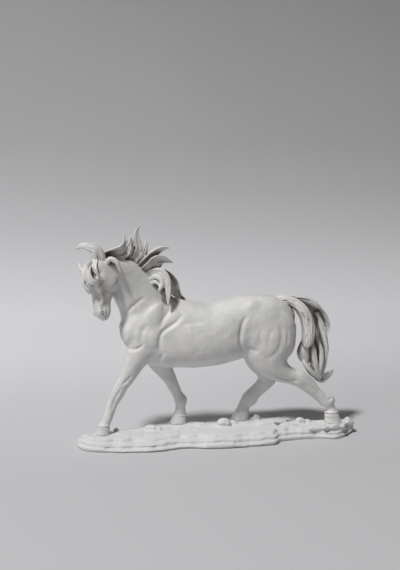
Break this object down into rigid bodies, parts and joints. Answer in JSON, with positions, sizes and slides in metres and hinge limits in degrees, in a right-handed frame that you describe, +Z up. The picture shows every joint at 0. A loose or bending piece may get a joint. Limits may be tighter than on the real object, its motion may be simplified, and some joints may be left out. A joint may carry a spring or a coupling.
{
  "type": "horse figurine",
  "caption": "Cast figurine of a striding horse with a windblown mane, turned head and lifted tail, standing on a flat rocky ground slab.",
  "frame": {"origin": "a point of the flat underside, under the horse's trunk and in the plane that splits the horse left from right", "axes": "+Z up; +X from the head towards the tail, along the longest side; +Y towards the horse's right side"},
  "size_m": [0.3062, 0.0763, 0.2302],
  "materials": {
    "horse_cast": "unpainted off-white casting resin, matt",
    "base_cast": "unpainted off-white casting resin, matt and slightly pitted"
  },
  "bodies": {
    "root": {"horse": "horse_cast", "base": "base_cast"}
  },
  "joints": []
}
